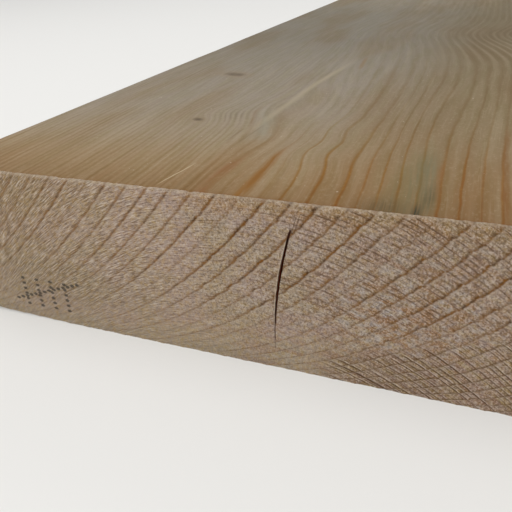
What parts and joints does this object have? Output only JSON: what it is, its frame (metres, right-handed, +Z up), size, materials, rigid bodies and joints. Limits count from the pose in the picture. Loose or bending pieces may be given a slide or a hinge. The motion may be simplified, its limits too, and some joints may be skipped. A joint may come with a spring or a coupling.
{
  "type": "timber lumber plank",
  "caption": "Length of sawn softwood plank lying flat, with growth rings on its ends, grain along its faces and a narrow drying check in one end.",
  "frame": {"origin": "middle of the underside, on the floor that the plank lies on", "axes": "+X across the width, +Y along the length away from the checked end, +Z up through the thickness"},
  "size_m": [0.225, 1.8, 0.05],
  "materials": {
    "sawn_softwood": "bare, sawn and weathered matte"
  },
  "bodies": {
    "root": {"plank": "sawn_softwood"}
  },
  "joints": []
}
